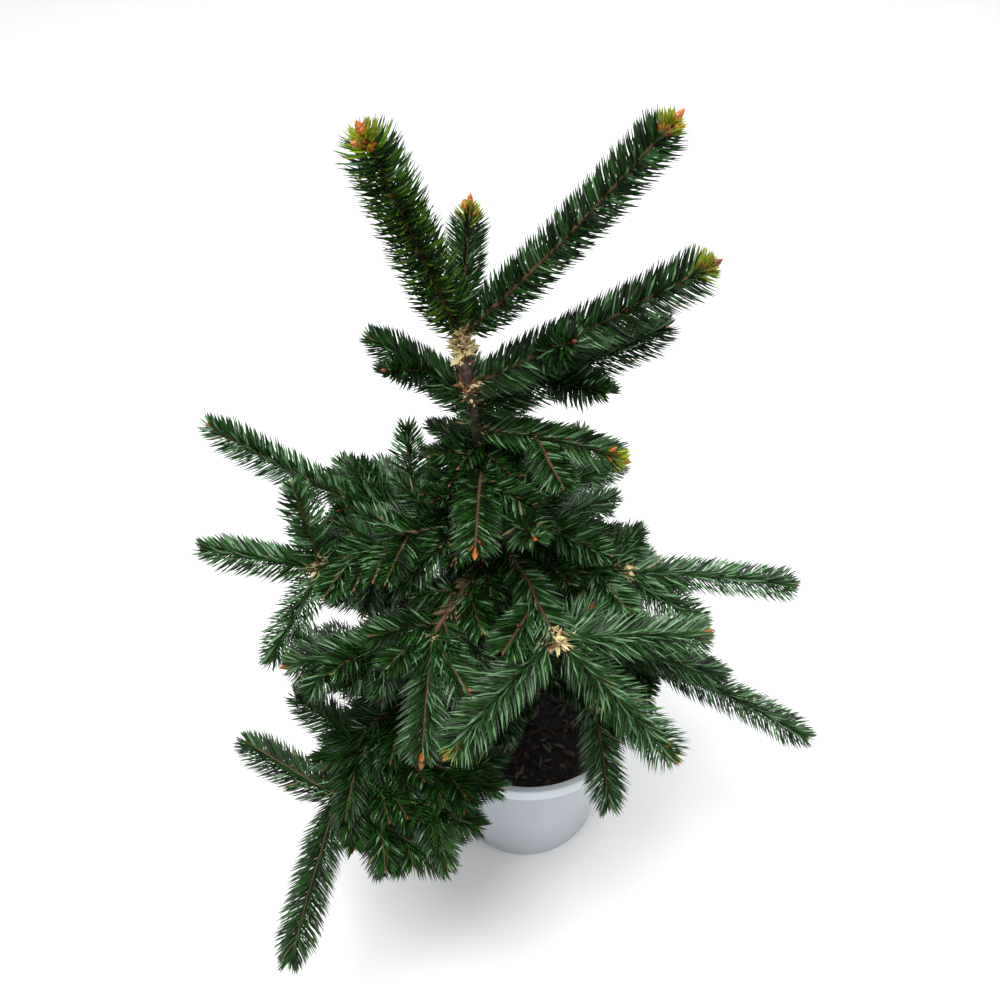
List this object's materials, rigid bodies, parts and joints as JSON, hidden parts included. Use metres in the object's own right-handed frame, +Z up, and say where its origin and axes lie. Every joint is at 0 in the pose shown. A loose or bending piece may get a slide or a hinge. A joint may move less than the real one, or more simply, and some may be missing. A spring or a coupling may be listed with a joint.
{
  "type": "potted spruce",
  "caption": "Young weeping spruce in a round plastic nursery pot: leaning stem, stiff rising top shoots, spreading and hanging side boughs with short dense needles",
  "frame": {"origin": "centre of the pot's flat underside, on the surface it stands on", "axes": "+Z is up the plant; -Y is the side that faces the viewer in the picture; +X is to the viewer's right"},
  "size_m": [0.4982, 0.4448, 0.7179],
  "materials": {
    "pot": "satin",
    "compost": "matte",
    "bark": "matte",
    "bough_bark": "matte",
    "foliage": "matte"
  },
  "bodies": {
    "root": {"pot": "pot", "compost": "compost", "trunk": "bark", "bough_right_upper": "bough_bark", "bough_left_upper": "bough_bark", "bough_left": "bough_bark", "bough_front_left": "bough_bark", "bough_front": "bough_bark", "bough_right": "bough_bark", "bough_right_middle": "bough_bark", "bough_right_low": "bough_bark", "bough_front_right_low": "bough_bark", "bough_left_low": "bough_bark", "bough_left_middle": "bough_bark", "bough_back": "bough_bark", "bough_back_right": "bough_bark", "bough_back_left": "bough_bark", "bough_back_low": "bough_bark", "bough_back_right_low": "bough_bark", "bough_back_left_low": "bough_bark", "foliage_top": "foliage", "foliage_upper_right": "foliage", "foliage_upper_back_right": "foliage", "foliage_upper_left": "foliage", "foliage_upper_back": "foliage", "foliage_middle_right": "foliage", "foliage_upper_front": "foliage", "foliage_middle_front": "foliage", "foliage_middle_front_left": "foliage", "foliage_front_low": "foliage", "foliage_right_upper": "foliage", "foliage_left_upper": "foliage", "foliage_left": "foliage", "foliage_front_left": "foliage", "foliage_front": "foliage", "foliage_right": "foliage", "foliage_right_middle": "foliage", "foliage_right_low": "foliage", "foliage_front_right_low": "foliage", "foliage_left_low": "foliage", "foliage_left_middle": "foliage", "foliage_back": "foliage", "foliage_back_right": "foliage", "foliage_back_left": "foliage", "foliage_back_low": "foliage", "foliage_back_right_low": "foliage", "foliage_back_left_low": "foliage"}
  },
  "joints": []
}
